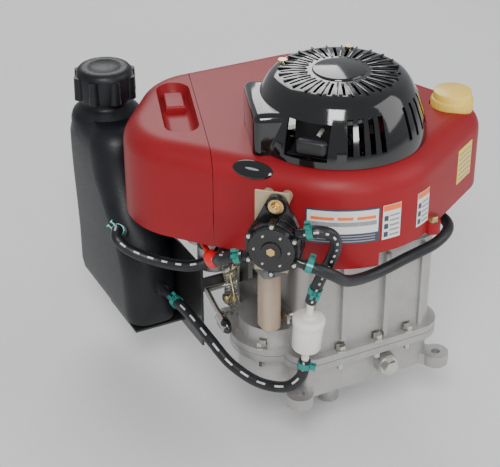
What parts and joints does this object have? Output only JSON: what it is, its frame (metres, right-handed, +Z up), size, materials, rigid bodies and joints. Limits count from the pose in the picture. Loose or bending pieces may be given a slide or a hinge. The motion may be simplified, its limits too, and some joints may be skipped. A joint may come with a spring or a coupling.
{
  "type": "small gasoline engine",
  "caption": "Single-cylinder vertical-shaft four-stroke gasoline engine with recoil starter, carburettor, fuel pump, filter, muffler and remote fuel tank.",
  "frame": {"origin": "centre of the output shaft at the mounting face under the sump", "axes": "+Z up along the crankshaft, -Z out along the output shaft, -Y the flat front wall, +Y the cylinder, -X the carburettor and tank, +X the oil filler"},
  "size_m": [0.4122, 0.4453, 0.434],
  "materials": {
    "cast_alloy": "as-cast matte",
    "machined_steel": "machined",
    "zinc_fastener": "zinc plated",
    "gasket_paper": "matte",
    "iron_liner": "honed",
    "black_paint": "satin black",
    "ceramic_white": "glazed",
    "black_rubber": "matte",
    "red_shroud": "satin crimson",
    "gloss_black": "gloss black",
    "black_plastic": "matte black",
    "filter_paper": "pleated paper",
    "rope_cord": "braided",
    "yellow_plastic": "pale yellow",
    "tan_paint": "tan zinc chromate",
    "nylon_white": "translucent nylon",
    "teal_clamp": "teal plated",
    "red_plastic": "gloss red",
    "muffler_steel": "heat darkened",
    "gear_nylon": "moulded",
    "zinc_plate": "bright zinc",
    "piston_alloy": "machined"
  },
  "bodies": {
    "engine_block": {"oil_sump": "cast_alloy", "crankcase": "cast_alloy", "gaskets": "gasket_paper", "case_bolts": "zinc_fastener", "cylinder_liner": "iron_liner", "cylinder_head": "cast_alloy", "valve_cover": "black_paint", "spark_plug": "ceramic_white", "plug_lead": "black_rubber", "oil_seals": "black_rubber", "valve_springs": "machined_steel", "tank_bracket": "black_paint", "blower_housing": "red_shroud", "housing_bolts": "zinc_fastener", "air_cleaner_base": "black_plastic", "air_filter": "filter_paper", "starter_cover": "gloss_black", "starter_rope": "rope_cord", "oil_fill_tube": "cast_alloy", "pump_bracket": "tan_paint", "fuel_pump": "black_plastic", "fuel_filter": "nylon_white", "supply_hose": "black_rubber", "pulse_hose": "black_rubber", "carburettor_hose": "black_rubber", "vent_hose": "black_rubber", "hose_clamps": "teal_clamp", "carburettor": "cast_alloy", "control_bracket": "zinc_plate", "breather_box": "tan_paint", "muffler": "muffler_steel", "fuel_tank": "black_plastic", "ignition_coil": "black_plastic"},
    "crank": {"crankshaft": "machined_steel", "crank_gear": "machined_steel", "flywheel": "cast_alloy", "cooling_fan": "black_plastic", "starter_cup": "machined_steel"},
    "cam": {"camshaft": "machined_steel", "cam_gear": "gear_nylon"},
    "governor": {"governor_gear": "gear_nylon"},
    "rod": {"connecting_rod": "cast_alloy"},
    "piston": {"piston": "piston_alloy", "piston_rings": "machined_steel", "wrist_pin": "machined_steel"},
    "intake_valve": {"intake_valve": "machined_steel"},
    "exhaust_valve": {"exhaust_valve": "machined_steel"},
    "intake_rocker": {"intake_rocker": "machined_steel"},
    "exhaust_rocker": {"exhaust_rocker": "machined_steel"},
    "intake_pushrod": {"intake_pushrod": "machined_steel"},
    "exhaust_pushrod": {"exhaust_pushrod": "machined_steel"},
    "starter_pulley": {"starter_pulley": "black_plastic"},
    "starter_handle": {"starter_handle": "black_plastic"},
    "air_cleaner_cover": {"air_cleaner_cover": "red_shroud"},
    "oil_cap": {"oil_cap": "yellow_plastic"},
    "choke": {"choke_shaft": "red_plastic"},
    "throttle": {"throttle_shaft": "zinc_plate"},
    "governor_lever": {"governor_lever": "zinc_plate"},
    "control_lever": {"control_lever": "zinc_plate"},
    "tank_cap": {"tank_cap": "black_plastic"}
  },
  "joints": [
    {"name": "crank_spin", "type": "hinge", "parent": "engine_block", "child": "crank", "pos_m": [0, 0, 0.1], "axis": [0, 0, 1], "continuous": true, "deforming": ["connecting_rod"]},
    {"name": "cam_spin", "type": "hinge", "parent": "engine_block", "child": "cam", "pos_m": [0.0546, 0.0315, 0.06], "axis": [0, 0, 1], "continuous": true},
    {"name": "governor_spin", "type": "hinge", "parent": "engine_block", "child": "governor", "pos_m": [0.05, -0.03133, 0.06], "axis": [0, 0, 1], "continuous": true},
    {"name": "piston_slide", "type": "slide", "parent": "engine_block", "child": "piston", "axis": [0, 1, 0], "range_m": [-0.062, 0], "deforming": ["connecting_rod"]},
    {"name": "rod_swing", "type": "hinge", "parent": "piston", "child": "rod", "pos_m": [0, 0.149, 0.122], "axis": [0, 0, 1], "range_deg": [-15, 15], "deforming": ["connecting_rod"]},
    {"name": "intake_rocker_tilt", "type": "hinge", "parent": "engine_block", "child": "intake_rocker", "pos_m": [0.027, 0.24, 0.145], "axis": [0, 0, 1], "range_deg": [0, 12], "stiffness_Nm_per_rad": 3, "deforming": ["valve_springs"]},
    {"name": "exhaust_rocker_tilt", "type": "hinge", "parent": "engine_block", "child": "exhaust_rocker", "pos_m": [0.027, 0.24, 0.099], "axis": [0, 0, 1], "range_deg": [0, 12], "stiffness_Nm_per_rad": 3, "deforming": ["valve_springs"]},
    {"name": "intake_valve_lift", "type": "slide", "parent": "engine_block", "child": "intake_valve", "axis": [0, -1, 0], "range_m": [0, 0.006]},
    {"name": "exhaust_valve_lift", "type": "slide", "parent": "engine_block", "child": "exhaust_valve", "axis": [0, -1, 0], "range_m": [0, 0.006]},
    {"name": "intake_pushrod_rise", "type": "slide", "parent": "engine_block", "child": "intake_pushrod", "axis": [0, 1, 0], "range_m": [0, 0.006]},
    {"name": "exhaust_pushrod_rise", "type": "slide", "parent": "engine_block", "child": "exhaust_pushrod", "axis": [0, 1, 0], "range_m": [0, 0.006]},
    {"name": "pulley_spin", "type": "hinge", "parent": "engine_block", "child": "starter_pulley", "pos_m": [0, 0, 0.31], "axis": [0, 0, 1], "range_deg": [-800, 0]},
    {"name": "handle_pull", "type": "slide", "parent": "engine_block", "child": "starter_handle", "axis": [-0.7218, -0.6921, 0], "range_m": [0, 0.5], "stiffness_N_per_m": 8, "springref_m": -0.6, "deforming": ["starter_rope"]},
    {"name": "air_cleaner_cover_off", "type": "slide", "parent": "engine_block", "child": "air_cleaner_cover", "axis": [0, 0, 1], "range_m": [0, 0.12]},
    {"name": "oil_cap_lift", "type": "slide", "parent": "engine_block", "child": "oil_cap", "axis": [0, 0, 1], "range_m": [0, 0.12]},
    {"name": "choke_turn", "type": "hinge", "parent": "engine_block", "child": "choke", "pos_m": [-0.118, 0.072, 0.165], "axis": [0, 0, 1], "range_deg": [-30, 0]},
    {"name": "throttle_turn", "type": "hinge", "parent": "engine_block", "child": "throttle", "pos_m": [-0.1, 0.072, 0.165], "axis": [0, 0, 1], "range_deg": [-20, 20]},
    {"name": "governor_lever_turn", "type": "hinge", "parent": "engine_block", "child": "governor_lever", "pos_m": [-0.08, -0.06, 0.1], "axis": [1, 0, 0], "range_deg": [-6, 6]},
    {"name": "control_lever_turn", "type": "hinge", "parent": "engine_block", "child": "control_lever", "pos_m": [-0.11, 0.04, 0.092], "axis": [1, 0, 0], "range_deg": [-25, 10]},
    {"name": "tank_cap_turn", "type": "hinge", "parent": "engine_block", "child": "tank_cap", "pos_m": [-0.168, 0.262, 0.25], "axis": [0, 0, 1], "range_deg": [0, 180]}
  ],
  "couplings": [
    {"joint": "cam_spin", "follows": "crank_spin", "ratio": -0.5},
    {"joint": "governor_spin", "follows": "crank_spin", "ratio": 1},
    {"joint": "intake_valve_lift", "follows": "intake_rocker_tilt", "m_per_rad": 0.027},
    {"joint": "exhaust_valve_lift", "follows": "exhaust_rocker_tilt", "m_per_rad": 0.027},
    {"joint": "intake_pushrod_rise", "follows": "intake_rocker_tilt", "m_per_rad": 0.0276},
    {"joint": "exhaust_pushrod_rise", "follows": "exhaust_rocker_tilt", "m_per_rad": 0.0276},
    {"joint": "pulley_spin", "follows": "handle_pull", "rad_per_m": -26},
    {"joint": "throttle_turn", "follows": "governor_lever_turn", "ratio": 3}
  ]
}
